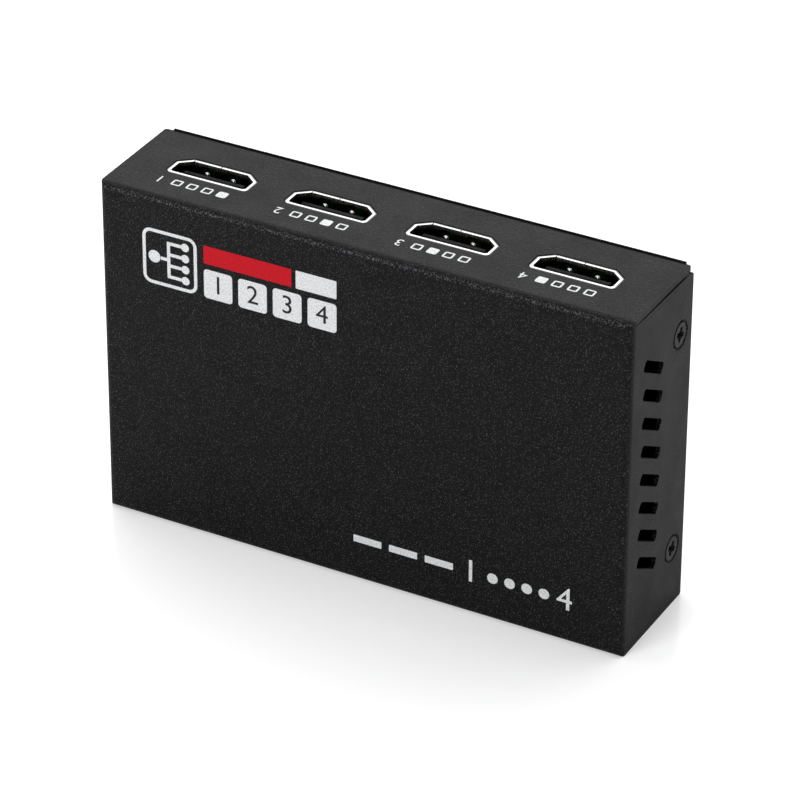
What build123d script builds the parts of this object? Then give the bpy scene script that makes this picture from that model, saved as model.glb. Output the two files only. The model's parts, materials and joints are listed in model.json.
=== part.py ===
from build123d import *
import os

# One-to-four video splitter in a folded steel case.
# The box stands on its input panel with the four output sockets on top.
# X runs along the row of output sockets, -Y is the printed face, +Y is the base
# plate, and Z is up. The origin is the centre of the input panel's outer face.
# Every size is in millimetres.

os.makedirs("parts", exist_ok=True)

# Case
case_length = 96.0
case_depth = 22.0
case_width = 62.0
sheet = 0.8
fold_radius = 1.2
overrun = 3.0

# Top cover
seam_front = 0.2
seam_back = 0.7
upper_corner = 0.7
lower_corner = 0.3
panel_corner = 0.5
rim_gap = 0.1

# Vents in the end walls
vent_count = 8
vent_length = 7.8
vent_height = 2.0
vent_corner = 0.4
vent_spacing = 5.2
vent_tilt = 29.5
vent_forward = 2.8
vent_rise = 0.95

# Cover screws and the flanges that they go into
screw_span = 40.0
screw_inset = 4.1
screw_radius = 1.5
screw_length = 5.0
screw_head_radius = 2.35
countersink_radius = 2.65
countersink_angle = 90.0
head_sink = 0.05
head_rim = 0.2
thread_clearance = 0.03
flange_gap = 0.05
flange_inset = 4.0
flange_reach = 7.2
plate_inset = 1.3
plate_gap = 0.1

# Rubber feet
foot_radius = 4.0
foot_height = 2.0
foot_inset = 7.5

# Video sockets
socket_count = 4
socket_side = 15.0
socket_y = 0.28
input_socket_share = 0.1
mouth_recess = 0.1
opening_width = 14.0
opening_height = 4.55
opening_corner = 0.4
narrow_width = 10.1
straight_side = 2.95
shell_wall = 0.4
shell_length = 11.0
lip_width = 0.6
lip_depth = 0.5
lip_clearance = 0.15
spring_x = 2.45
spring_width = 1.6
spring_slot = 0.35
spring_tip = 0.9
spring_crest = 2.2
spring_root = 6.4
spring_bow = 0.5
spring_sheet = 0.3
leg_width = 1.6
leg_front = 3.4
leg_back = 9.2
leg_clearance = 0.1
leg_proud = 0.6
tongue_width = 11.2
tongue_height = 1.2
tongue_tip = 0.9
tongue_edge = 0.25
block_front = 7.4
block_clearance = 0.03
contact_spacing = 1.0
contact_width = 0.3
contact_sheet = 0.15
contact_tip = 1.4
contact_setback = 0.6
contact_clearance = 0.02
wide_row_count = 10
narrow_row_count = 9

# Circuit board
board_thickness = 1.6
board_side_gap = 4.6
board_end_gap = 1.2
board_corner = 1.0
board_hole_radius = 1.6
standoff_across = 5.0
standoff_bore = 1.5
output_screw_inset = 14.6
input_screw_side = 2.6
input_screw_inset = 17.0
pan_head_radius = 2.6
pan_head_height = 2.0
board_screw_length = 4.5

# Power socket
jack_share = 0.29
jack_width = 9.0
jack_height = 11.0
jack_length = 13.2
jack_axis_height = 6.5
jack_collar_radius = 3.9
jack_bore_radius = 3.15
jack_bore_depth = 9.6
jack_hole_clearance = 0.2
jack_gap = 0.2
jack_pin_radius = 1.05
jack_pin_tip = 0.9
jack_pin_nose = 0.4
jack_shank_radius = 1.3
jack_terminal_width = 2.4
jack_terminal_sheet = 0.5
jack_spring_width = 2.0
jack_spring_sheet = 0.4
jack_spring_bow = 0.45
jack_spring_gap = 0.15
jack_spring_front = 2.6
jack_spring_crest = 5.6
jack_spring_back = 8.6
jack_spring_tail = 11.4
jack_spring_slack = 0.3
jack_fit_clearance = 0.03

# Status lights
led_first_share = -0.355
led_spacing = 5.0
led_count = 5
led_width = 3.4
led_tall = 2.0
led_length = 4.6
led_edge = 0.3
led_height = 3.0
led_recess = 0.2
led_hole_clearance = 0.15
led_lead = 0.45
led_lead_spacing = 2.54
led_lead_setback = 1.6
lead_hole_clearance = 0.15

# Splitter chip, its pad and its heat sink
chip_size = 14.0
chip_height = 1.4
chip_standoff = 0.1
chip_lead_count = 13
chip_lead_spacing = 1.0
chip_lead_width = 0.35
lead_sheet = 0.15
lead_rise = 0.6
lead_root = 0.3
lead_reach = 1.0
lead_knee = 0.35
pad_height = 0.5
pad_size = 13.0
sink_size = 20.0
sink_base = 2.0
sink_height = 8.0
fin_count = 7
fin_thickness = 1.0

# Small chips
control_length = 5.0
control_width = 4.4
control_height = 1.2
control_lead_count = 7
control_lead_spacing = 0.65
control_lead_width = 0.25
control_share = -0.27
control_rise = -5.0
memory_length = 5.0
memory_width = 4.0
memory_height = 1.5
memory_lead_count = 4
memory_lead_spacing = 1.27
memory_lead_width = 0.4
memory_share = -0.27
memory_rise = 5.0
regulator_length = 6.5
regulator_width = 3.5
regulator_height = 1.6
regulator_lead_count = 3
regulator_lead_spacing = 2.3
regulator_lead_width = 0.7
regulator_tab_width = 3.0
regulator_share = 0.23
regulator_rise = -6.0

# Coil, crystal, capacitors and the small parts in rows
coil_size = 6.0
coil_height = 3.0
coil_chamfer = 1.2
coil_share = 0.34
coil_rise = -7.0
crystal_length = 5.0
crystal_width = 3.2
crystal_base = 0.8
crystal_rim = 0.3
crystal_lid = 0.4
crystal_share = -0.38
crystal_rise = 2.0
can_radius = 3.15
can_height = 5.8
can_share = 0.35
can_rise = 1.0
can_spacing = 8.0
can_base_size = 6.6
can_base_height = 1.0
can_base_chamfer = 1.5
surge_length = 2.5
surge_width = 1.0
surge_height = 0.5
surge_spacing = 4.0
surge_setback = 15.5
resistor_length = 1.6
resistor_width = 0.8
resistor_height = 0.45
resistor_spacing = 1.9
resistor_count = 4
resistor_setback = 18.0
bypass_length = 1.6
bypass_width = 0.8
bypass_height = 0.8
bypass_spacing = 4.0
bypass_count = 4
bypass_gap = 2.6
fuse_length = 4.5
fuse_width = 3.2
fuse_height = 0.9
fuse_share = 0.23
fuse_rise = -12.5
diode_length = 4.4
diode_width = 2.6
diode_height = 2.2
diode_share = 0.23
diode_rise = 6.0

# Places that follow from the sizes
end_x = case_length / 2
back_y = case_depth / 2
front_y = -case_depth / 2
middle_z = case_width / 2
inside_x = end_x - sheet
panel_inside_z = case_width - sheet
plate_inside_y = back_y - sheet
rim_y = plate_inside_y - rim_gap
screw_y = back_y - screw_inset
screw_heights = [middle_z - screw_span / 2, middle_z + screw_span / 2]

half_wide = opening_width / 2
half_narrow = narrow_width / 2
wide_y = -opening_height / 2
narrow_y = opening_height / 2
shoulder_y = wide_y + straight_side
board_drop = narrow_y + shell_wall
board_face_y = socket_y + board_drop
board_back_y = board_face_y + board_thickness

board_length = case_length - 2 * (sheet + board_side_gap)
board_width = case_width - 2 * (sheet + board_end_gap)
socket_spacing = (case_length - 2 * socket_side) / (socket_count - 1)
input_screw_x = board_length / 2 - input_screw_side
board_screw_places = [
    (-socket_spacing, case_width - output_screw_inset),
    (socket_spacing, case_width - output_screw_inset),
    (-input_screw_x, input_screw_inset),
    (input_screw_x, input_screw_inset),
]

output_places = [
    (step - (socket_count - 1) / 2) * socket_spacing for step in range(socket_count)
]
input_socket_x = input_socket_share * case_length
jack_x = jack_share * case_length
led_first_x = led_first_share * case_length
led_places = [led_first_x + step * led_spacing for step in range(led_count)]
contact_tail = shell_length + contact_setback

# Where the parts on the board stand along it
control_x = control_share * board_length
memory_x = memory_share * board_length
regulator_x = regulator_share * board_length
coil_x = coil_share * board_length
crystal_x = crystal_share * board_length
can_x = can_share * board_length
fuse_x = fuse_share * board_length
diode_x = diode_share * board_length
jack_y = board_face_y - jack_axis_height
led_y = board_face_y - led_height


# Planes that pieces are drawn on
def output_mouth(x):
    """Mouth of an output socket: z points out of the case, y points to the board."""
    return Plane(
        origin=(x, socket_y, case_width - mouth_recess),
        x_dir=(1, 0, 0),
        z_dir=(0, 0, 1),
    )


def input_face(x, y, depth):
    """A plane of the input side: z points down and out, y points to the board."""
    return Plane(origin=(x, y, depth), x_dir=(-1, 0, 0), z_dir=(0, 0, -1))


def side_view(mouth, x=0):
    """Plane across a socket: x is the depth behind the mouth, y points to the board."""
    return Plane(
        origin=mouth.from_local_coords((x, 0, 0)),
        x_dir=-mouth.z_dir,
        z_dir=mouth.z_dir.cross(mouth.y_dir) * -1,
    )


def board_plane(height=0):
    """Plane on the board's component face, raised towards the printed face."""
    return Plane.XZ.offset(height - board_face_y)


output_mouths = [output_mouth(x) for x in output_places]
input_mouth = input_face(input_socket_x, socket_y, mouth_recess)


def socket_face(growth=0):
    """The socket's D outline, grown on all sides, with its wide side at -y."""
    with BuildSketch() as face:
        with BuildLine():
            Polyline(
                (-half_narrow, narrow_y),
                (half_narrow, narrow_y),
                (half_wide, shoulder_y),
                (half_wide, wide_y),
                (-half_wide, wide_y),
                (-half_wide, shoulder_y),
                close=True,
            )
        make_face()
        chamfer(face.vertices().group_by(Axis.Y)[0], length=opening_corner)
        if growth:
            offset(amount=growth, kind=Kind.INTERSECTION)
    return face.sketch


opening_face = socket_face()
tube_face = socket_face(shell_wall)
lip_face = socket_face(lip_width)
panel_hole_face = socket_face(lip_width + lip_clearance)
block_face = socket_face(-block_clearance)

# Top cover: printed face, two end walls and two socket panels folded from one sheet
with BuildPart() as top_cover:
    with BuildSketch(Plane.XZ.offset(-back_y)):
        with Locations((0, middle_z)):
            Rectangle(case_length, case_width)
    extrude(amount=case_depth)
    fillet(faces().sort_by(Axis.Y)[0].edges(), radius=fold_radius)
    offset(amount=-sheet, openings=faces().sort_by(Axis.Y)[-1])
    # The corner seams widen from the fold to the rim, and both panels stop short
    # of the base plate, which covers their rims. The output panel laps over the
    # end walls' tops. The input panel ends between the walls.
    with BuildSketch(Plane.YZ) as upper_seams:
        with BuildLine():
            Polyline(
                (front_y + fold_radius, panel_inside_z),
                (front_y + fold_radius, panel_inside_z - seam_front),
                (back_y + overrun, panel_inside_z - seam_back),
                (back_y + overrun, case_width + overrun),
                (rim_y, case_width + overrun),
                (rim_y, panel_inside_z),
                close=True,
            )
        make_face()
    extrude(amount=end_x + overrun, both=True, mode=Mode.SUBTRACT)
    with BuildSketch(Plane.XY) as lower_seams:
        with BuildLine():
            Polyline(
                (-inside_x, front_y + fold_radius),
                (seam_front - inside_x, front_y + fold_radius),
                (seam_back - inside_x, rim_y),
                (inside_x - seam_back, rim_y),
                (inside_x - seam_front, front_y + fold_radius),
                (inside_x, front_y + fold_radius),
                (inside_x, back_y + overrun),
                (-inside_x, back_y + overrun),
                close=True,
            )
        make_face()
    extrude(amount=sheet, both=True, mode=Mode.SUBTRACT)
    wall_corners = edges().filter_by(Axis.X).group_by(Axis.Y)[-1]
    fillet(wall_corners.group_by(Axis.Z)[-1], radius=upper_corner)
    wall_corners = edges().filter_by(Axis.X).group_by(Axis.Y)[-1]
    fillet(wall_corners.group_by(Axis.Z)[0], radius=lower_corner)
    rim_edges = edges().filter_by(Axis.Z).filter_by_position(
        Axis.Y, rim_y - rim_gap, rim_y + rim_gap
    )
    panel_corners = rim_edges.group_by(Axis.Z)[-1].sort_by(Axis.X)
    fillet([panel_corners[0], panel_corners[-1]], radius=panel_corner)
    # Slanted vents, the same in both end walls
    with BuildSketch(Plane.YZ) as vents:
        with Locations((-vent_forward, middle_z + vent_rise)):
            with GridLocations(0, vent_spacing, 1, vent_count):
                Rectangle(vent_length, vent_height, rotation=-vent_tilt)
        chamfer(vents.vertices(), length=vent_corner)
    extrude(amount=end_x + overrun, both=True, mode=Mode.SUBTRACT)
    # Socket openings
    for mouth in output_mouths + [input_mouth]:
        with BuildSketch(mouth.offset(mouth_recess + overrun)):
            add(panel_hole_face)
        extrude(amount=-2 * overrun, mode=Mode.SUBTRACT)
    # Openings for the power socket and the status lights
    with BuildSketch(Plane.XY) as input_holes:
        with Locations((jack_x, jack_y)):
            Circle(jack_collar_radius + jack_hole_clearance)
        with Locations([(x, led_y) for x in led_places]):
            Rectangle(led_width + 2 * led_hole_clearance, led_tall + 2 * led_hole_clearance)
    extrude(amount=overrun, both=True, mode=Mode.SUBTRACT)
    # Countersunk screw holes in the end walls
    for side in (-1, 1):
        for z in screw_heights:
            with Locations(Plane(origin=(side * end_x, screw_y, z), z_dir=(side, 0, 0))):
                CounterSinkHole(
                    screw_radius, countersink_radius, overrun, countersink_angle
                )
top_cover.part.label = "top_cover"
export_step(top_cover.part, "parts/top_cover.step")

# Base plate: flat plate with a flange folded up inside each end wall
flange_x = inside_x - flange_gap
with BuildPart() as base_plate:
    with BuildSketch(Plane.XZ.offset(-back_y)) as plate:
        with Locations((0, middle_z)):
            Rectangle(2 * (end_x - plate_inset), case_width - 2 * plate_gap)
    extrude(amount=sheet)
    with BuildSketch(Plane.XY.offset(flange_inset)) as flanges:
        with BuildLine():
            Polyline(
                (-flange_x, back_y - flange_reach),
                (-flange_x, back_y),
                (flange_x, back_y),
                (flange_x, back_y - flange_reach),
                (flange_x - sheet, back_y - flange_reach),
                (flange_x - sheet, plate_inside_y),
                (sheet - flange_x, plate_inside_y),
                (sheet - flange_x, back_y - flange_reach),
                close=True,
            )
        make_face()
        fillet(flanges.vertices().group_by(Axis.Y)[-1], radius=fold_radius)
    extrude(amount=case_width - 2 * flange_inset)
    for side in (-1, 1):
        for z in screw_heights:
            with Locations(Plane(origin=(side * end_x, screw_y, z), z_dir=(side, 0, 0))):
                CounterSinkHole(
                    screw_radius,
                    countersink_radius - flange_gap,
                    screw_length + overrun,
                    countersink_angle,
                )
base_plate.part.label = "base_plate"
export_step(base_plate.part, "parts/base_plate.step")

# Cover screws: four countersunk screws, two through each end wall
head_cone = screw_head_radius - screw_radius + thread_clearance
with BuildPart() as cover_screws:
    for side in (-1, 1):
        for z in screw_heights:
            head_top = Plane(origin=(side * (end_x - head_sink), screw_y, z), z_dir=(side, 0, 0))
            with BuildSketch(head_top):
                Circle(screw_radius - thread_clearance)
            extrude(amount=-screw_length)
            with BuildSketch(head_top):
                Circle(screw_head_radius)
            extrude(amount=-head_rim)
            with BuildSketch(head_top.offset(-head_rim)):
                Circle(screw_head_radius)
            extrude(amount=-head_cone, taper=countersink_angle / 2)
cover_screws.part.label = "cover_screws"
export_step(cover_screws.part, "parts/cover_screws.step")

# Rubber feet: four discs stuck on the base plate
foot_x = end_x - foot_inset
foot_places = [
    (-foot_x, foot_inset),
    (foot_x, foot_inset),
    (-foot_x, case_width - foot_inset),
    (foot_x, case_width - foot_inset),
]
for number, (x, z) in enumerate(foot_places, start=1):
    with BuildPart() as rubber_foot:
        with BuildSketch(Plane(origin=(x, back_y, z), z_dir=(0, 1, 0))):
            Circle(foot_radius)
        extrude(amount=foot_height)
    rubber_foot.part.label = f"rubber_foot_{number}"
    export_step(rubber_foot.part, f"parts/rubber_foot_{number}.step")


# Video sockets
def row_width(count):
    """Width of a row of contacts over its two outer edges."""
    return (count - 1) * contact_spacing + contact_width


def contact_row(mouth, top_y, count):
    """One row of stamped contacts: tongue strip and solder tail in one piece."""
    bottom_y = top_y + contact_sheet
    tail_outer = contact_tail + contact_sheet
    with BuildPart() as row:
        with BuildSketch(side_view(mouth)):
            with BuildLine():
                Polyline(
                    (contact_tip, top_y),
                    (tail_outer, top_y),
                    (tail_outer, board_drop),
                    (contact_tail, board_drop),
                    (contact_tail, bottom_y),
                    (contact_tip, bottom_y),
                    close=True,
                )
            make_face()
        extrude(amount=row_width(count) / 2, both=True)
        with BuildSketch(mouth):
            with GridLocations(contact_spacing, 0, count - 1, 1):
                Rectangle(contact_spacing - contact_width, 2 * (board_drop + overrun))
        extrude(amount=-(tail_outer + overrun), mode=Mode.SUBTRACT)
    return row.part


def spring_finger(mouth, x, wall_y, inward):
    """A finger cut from the shell's wall and bowed into the opening."""
    root_y = wall_y - spring_sheet / 2
    crest_y = root_y + inward * spring_bow
    tip_y = root_y + inward * spring_bow / 2
    with BuildPart() as finger:
        with BuildSketch(side_view(mouth, x)):
            with BuildLine():
                Polyline(
                    (spring_root + shell_wall, root_y),
                    (spring_root, root_y),
                    (spring_crest, crest_y),
                    (spring_tip, tip_y),
                    (spring_tip, tip_y + spring_sheet),
                    (spring_crest, crest_y + spring_sheet),
                    (spring_root, root_y + spring_sheet),
                    (spring_root + shell_wall, root_y + spring_sheet),
                    close=True,
                )
            make_face()
        extrude(amount=spring_width / 2, both=True)
    return finger.part


def make_socket(name, mouth):
    """Shell, insulator and contacts of one socket."""
    wide_wall_y = wide_y - shell_wall / 2
    narrow_wall_y = narrow_y + shell_wall / 2
    fingers = []
    for x in (-spring_x, spring_x):
        fingers.append(spring_finger(mouth, x, wide_wall_y, 1))
        fingers.append(spring_finger(mouth, x, narrow_wall_y, -1))
    rows = [
        contact_row(mouth, -tongue_height / 2, wide_row_count),
        contact_row(mouth, tongue_height / 2 - contact_sheet, narrow_row_count),
    ]

    with BuildPart() as shell:
        with BuildSketch(mouth):
            add(tube_face)
        extrude(amount=-shell_length)
        with BuildSketch(mouth):
            add(lip_face)
        extrude(amount=-lip_depth)
        with BuildSketch(mouth):
            add(opening_face)
        extrude(amount=-shell_length, mode=Mode.SUBTRACT)
        # Windows in the two long walls, one around each finger
        slot_front = spring_tip - spring_slot
        with BuildSketch(mouth.offset(-slot_front)):
            with GridLocations(2 * spring_x, 0, 2, 1):
                Rectangle(spring_width + 2 * spring_slot, 2 * (board_drop + overrun))
        extrude(amount=slot_front - spring_root, mode=Mode.SUBTRACT)
        add(fingers)
        # Four legs from the straight side walls through the board
        leg_end = board_drop + board_thickness + leg_proud
        for side in (-1, 1):
            leg_x = side * (half_wide + shell_wall / 2)
            with BuildSketch(side_view(mouth, leg_x)):
                for depth in (leg_front, leg_back):
                    with Locations((depth, (shoulder_y + leg_end) / 2)):
                        Rectangle(leg_width, leg_end - shoulder_y + 2 * leg_clearance)
            extrude(amount=shell_wall / 2, both=True)
    shell.part.label = f"{name}_shell"
    export_step(shell.part, f"parts/{name}_shell.step")

    with BuildPart() as body:
        with BuildSketch(mouth.offset(-block_front)):
            add(block_face)
        extrude(amount=block_front - shell_length)
        with BuildSketch(mouth.offset(-block_front)):
            Rectangle(tongue_width, tongue_height)
        extrude(amount=block_front - tongue_tip)
        tip = body.faces().sort_by(Axis(mouth.origin, mouth.z_dir))[-1]
        chamfer(tip.edges().filter_by(Axis.X), length=tongue_edge)
        # A bed on each side of the tongue, open through the block, holds its contacts
        bed_y = (tongue_height - contact_sheet) / 2
        with BuildSketch(mouth.offset(contact_clearance - contact_tip)):
            for count, y in ((wide_row_count, -bed_y), (narrow_row_count, bed_y)):
                with Locations((0, y)):
                    Rectangle(
                        row_width(count) + 2 * contact_clearance,
                        contact_sheet + 2 * contact_clearance,
                    )
        extrude(amount=-shell_length, mode=Mode.SUBTRACT)
    body.part.label = f"{name}_insulator"
    export_step(body.part, f"parts/{name}_insulator.step")

    with BuildPart() as contacts:
        add(rows)
    contacts.part.label = f"{name}_contacts"
    export_step(contacts.part, f"parts/{name}_contacts.step")


for number, mouth in enumerate(output_mouths, start=1):
    make_socket(f"output_socket_{number}", mouth)
make_socket("input_socket", input_mouth)

# Circuit board, with every hole that a leg or a screw passes through
leg_offset = half_wide + shell_wall / 2
leg_places = []
for x in output_places:
    for depth in (leg_front, leg_back):
        z = case_width - mouth_recess - depth
        leg_places += [(x - leg_offset, z), (x + leg_offset, z)]
for depth in (leg_front, leg_back):
    z = mouth_recess + depth
    leg_places += [(input_socket_x - leg_offset, z), (input_socket_x + leg_offset, z)]
led_back_z = led_recess + led_length
led_lead_z = led_back_z + led_lead_setback
pin_terminal_z = sheet + jack_gap + jack_length + jack_terminal_sheet / 2
spring_terminal_z = mouth_recess + jack_spring_tail - jack_spring_sheet / 2
with BuildPart() as circuit_board:
    with BuildSketch(board_plane()):
        with Locations((0, middle_z)):
            RectangleRounded(board_length, board_width, board_corner)
        with Locations(board_screw_places):
            Circle(board_hole_radius, mode=Mode.SUBTRACT)
        with Locations(leg_places):
            Rectangle(
                shell_wall + 2 * leg_clearance,
                leg_width + 2 * leg_clearance,
                mode=Mode.SUBTRACT,
            )
        lead_hole = led_lead + 2 * lead_hole_clearance
        with Locations([(x, led_lead_z) for x in led_places]):
            with GridLocations(led_lead_spacing, 0, 2, 1):
                Rectangle(lead_hole, lead_hole, mode=Mode.SUBTRACT)
        with Locations((jack_x, pin_terminal_z)):
            Rectangle(
                jack_terminal_width + 2 * leg_clearance,
                jack_terminal_sheet + 2 * leg_clearance,
                mode=Mode.SUBTRACT,
            )
        with Locations((jack_x, spring_terminal_z)):
            Rectangle(
                jack_spring_width + 2 * leg_clearance,
                jack_spring_sheet + 2 * leg_clearance,
                mode=Mode.SUBTRACT,
            )
    extrude(amount=-board_thickness)
circuit_board.part.label = "circuit_board"
export_step(circuit_board.part, "parts/circuit_board.step")

# Board standoffs: hexagonal threaded pillars welded to the base plate
with BuildPart() as board_standoffs:
    with BuildSketch(Plane.XZ.offset(-board_back_y)):
        with Locations(board_screw_places):
            RegularPolygon(standoff_across / 2, 6, major_radius=False)
            Circle(standoff_bore, mode=Mode.SUBTRACT)
    extrude(amount=board_back_y - plate_inside_y)
board_standoffs.part.label = "board_standoffs"
export_step(board_standoffs.part, "parts/board_standoffs.step")

# Board screws: four pan head screws from the component side
with BuildPart() as board_screws:
    with BuildSketch(board_plane()):
        with Locations(board_screw_places):
            Circle(pan_head_radius)
    extrude(amount=pan_head_height)
    with BuildSketch(board_plane()):
        with Locations(board_screw_places):
            Circle(standoff_bore - thread_clearance)
    extrude(amount=-board_screw_length)
board_screws.part.label = "board_screws"
export_step(board_screws.part, "parts/board_screws.step")

# Power socket: moulded housing with a collar in the panel's round hole
jack_mouth = input_face(jack_x, jack_y, mouth_recess)
jack_front = input_face(jack_x, jack_y, sheet + jack_gap)
jack_front_depth = sheet + jack_gap - mouth_recess
jack_end_depth = jack_front_depth + jack_length
spring_rest_y = jack_bore_radius + jack_spring_gap
spring_crest_y = jack_bore_radius - jack_spring_bow
terminal_end_y = jack_axis_height + board_thickness + leg_proud
with BuildPart() as power_jack_housing:
    with BuildSketch(jack_front):
        with Locations((0, jack_axis_height - jack_height / 2)):
            Rectangle(jack_width, jack_height)
    extrude(amount=-jack_length)
    with BuildSketch(jack_mouth):
        Circle(jack_collar_radius)
    extrude(amount=-jack_front_depth)
    with BuildSketch(jack_mouth):
        Circle(jack_bore_radius)
    extrude(amount=-jack_bore_depth, mode=Mode.SUBTRACT)
    with BuildSketch(jack_mouth):
        Circle(jack_shank_radius + jack_fit_clearance)
    extrude(amount=-(jack_end_depth + overrun), mode=Mode.SUBTRACT)
    # Slot in the floor of the bore for the sleeve spring, open to the board
    with BuildSketch(side_view(jack_mouth)):
        with BuildLine():
            Polyline(
                (jack_spring_front - jack_spring_slack, spring_crest_y - jack_spring_slack),
                (jack_spring_tail + jack_spring_slack, spring_crest_y - jack_spring_slack),
                (jack_spring_tail + jack_spring_slack, jack_axis_height + overrun),
                (jack_spring_front - jack_spring_slack, jack_axis_height + overrun),
                close=True,
            )
        make_face()
    extrude(amount=jack_spring_width / 2 + leg_clearance, both=True, mode=Mode.SUBTRACT)
power_jack_housing.part.label = "power_jack_housing"
export_step(power_jack_housing.part, "parts/power_jack_housing.step")

# Centre pin of the power socket, riveted to its own terminal behind the housing
with BuildPart() as power_jack_pin:
    with BuildSketch(jack_mouth.offset(-jack_pin_tip)):
        Circle(jack_pin_radius)
    extrude(amount=jack_pin_tip - jack_end_depth)
    nose = power_jack_pin.faces().sort_by(Axis.Z)[0]
    chamfer(nose.edges(), length=jack_pin_nose)
    with BuildSketch(jack_mouth.offset(-jack_bore_depth)):
        Circle(jack_shank_radius)
    extrude(amount=jack_bore_depth - jack_end_depth)
    with BuildSketch(jack_mouth.offset(-jack_end_depth)):
        with Locations((0, (terminal_end_y - jack_terminal_width / 2) / 2)):
            Rectangle(jack_terminal_width, terminal_end_y + jack_terminal_width / 2)
    extrude(amount=-jack_terminal_sheet)
power_jack_pin.part.label = "power_jack_pin"
export_step(power_jack_pin.part, "parts/power_jack_pin.step")

# Sleeve spring of the power socket: a bowed leaf that turns down to the board
with BuildPart() as power_jack_spring:
    with BuildSketch(side_view(jack_mouth)):
        with BuildLine():
            Polyline(
                (jack_spring_front, spring_rest_y),
                (jack_spring_crest, spring_crest_y),
                (jack_spring_back, spring_rest_y),
                (jack_spring_tail, spring_rest_y),
                (jack_spring_tail, terminal_end_y),
                (jack_spring_tail - jack_spring_sheet, terminal_end_y),
                (jack_spring_tail - jack_spring_sheet, spring_rest_y + jack_spring_sheet),
                (jack_spring_back, spring_rest_y + jack_spring_sheet),
                (jack_spring_crest, spring_crest_y + jack_spring_sheet),
                (jack_spring_front, spring_rest_y + jack_spring_sheet),
                close=True,
            )
        make_face()
    extrude(amount=jack_spring_width / 2, both=True)
power_jack_spring.part.label = "power_jack_spring"
export_step(power_jack_spring.part, "parts/power_jack_spring.step")

# Status lights: five clear blocks in the input panel's small windows
led_row = input_face(0, led_y, led_recess)
with BuildPart() as status_lights:
    with BuildSketch(led_row):
        with Locations([(-x, 0) for x in led_places]):
            Rectangle(led_width, led_tall)
    extrude(amount=-led_length)
    chamfer(status_lights.faces().group_by(Axis.Z)[0].edges(), length=led_edge)
status_lights.part.label = "status_lights"
export_step(status_lights.part, "parts/status_lights.step")

# Their leads: two square wires each, bent down through the board
lead_end_y = board_back_y + leg_proud
with BuildPart() as status_light_leads:
    for x in led_places:
        for side in (-1, 1):
            with BuildSketch(Plane.YZ.offset(x + side * led_lead_spacing / 2)):
                with BuildLine():
                    Polyline(
                        (led_y - led_lead / 2, led_back_z),
                        (led_y - led_lead / 2, led_lead_z + led_lead / 2),
                        (lead_end_y, led_lead_z + led_lead / 2),
                        (lead_end_y, led_lead_z - led_lead / 2),
                        (led_y + led_lead / 2, led_lead_z - led_lead / 2),
                        (led_y + led_lead / 2, led_back_z),
                        close=True,
                    )
                make_face()
            extrude(amount=led_lead / 2, both=True)
status_light_leads.part.label = "status_light_leads"
export_step(status_light_leads.part, "parts/status_light_leads.step")


# Chips
def chip_body(x, z, length, width, height):
    """A moulded chip body that stands a little off the board."""
    with BuildPart() as body:
        with BuildSketch(board_plane(chip_standoff)):
            with Locations((x, z)):
                Rectangle(length, width)
        extrude(amount=height - chip_standoff)
    return body


def lead_row(x, z, outward, start, count, spacing, width):
    """Leads along one side of a chip: slanted leg and flat foot, cut from one strip."""
    origin = Vector(x, board_face_y, z)
    away = Vector(0, -1, 0)
    knee = start + lead_knee
    with BuildPart() as row:
        with BuildSketch(Plane(origin=origin, x_dir=outward, z_dir=Vector(outward).cross(away))):
            with BuildLine():
                Polyline(
                    (start, lead_rise + lead_root),
                    (knee + lead_sheet, lead_sheet),
                    (start + lead_reach, lead_sheet),
                    (start + lead_reach, 0),
                    (knee, 0),
                    (start, lead_rise),
                    close=True,
                )
            make_face()
        extrude(amount=((count - 1) * spacing + width) / 2, both=True)
        if count > 1:
            with BuildSketch(Plane(origin=origin, x_dir=outward, z_dir=away)):
                with GridLocations(0, spacing, 1, count - 1):
                    Rectangle(2 * (start + lead_reach + overrun), spacing - width)
            extrude(amount=lead_rise + overrun, mode=Mode.SUBTRACT)
    return row.part


right = (1, 0, 0)
left = (-1, 0, 0)
upward = (0, 0, 1)
downward = (0, 0, -1)

splitter_chip = chip_body(0, middle_z, chip_size, chip_size, chip_height)
splitter_chip.part.label = "splitter_chip"
export_step(splitter_chip.part, "parts/splitter_chip.step")

splitter_rows = [
    lead_row(0, middle_z, outward, chip_size / 2, chip_lead_count, chip_lead_spacing, chip_lead_width)
    for outward in (right, left, upward, downward)
]
with BuildPart() as splitter_chip_leads:
    add(splitter_rows)
splitter_chip_leads.part.label = "splitter_chip_leads"
export_step(splitter_chip_leads.part, "parts/splitter_chip_leads.step")

# Soft pad between the splitter chip and its heat sink
with BuildPart() as thermal_pad:
    with BuildSketch(board_plane(chip_height)):
        with Locations((0, middle_z)):
            Rectangle(pad_size, pad_size)
    extrude(amount=pad_height)
thermal_pad.part.label = "thermal_pad"
export_step(thermal_pad.part, "parts/thermal_pad.step")

# Heat sink with upright fins
sink_foot = chip_height + pad_height
fin_spacing = (sink_size - fin_thickness) / (fin_count - 1)
with BuildPart() as heat_sink:
    with BuildSketch(board_plane(sink_foot)):
        with Locations((0, middle_z)):
            Rectangle(sink_size, sink_size)
    extrude(amount=sink_base)
    with BuildSketch(board_plane(sink_foot + sink_base)):
        with Locations((0, middle_z)):
            with GridLocations(fin_spacing, 0, fin_count, 1):
                Rectangle(fin_thickness, sink_size)
    extrude(amount=sink_height - sink_base)
heat_sink.part.label = "heat_sink"
export_step(heat_sink.part, "parts/heat_sink.step")

# Control chip, leads on two sides
control_z = middle_z + control_rise
control_chip = chip_body(control_x, control_z, control_width, control_length, control_height)
control_chip.part.label = "control_chip"
export_step(control_chip.part, "parts/control_chip.step")

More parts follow.
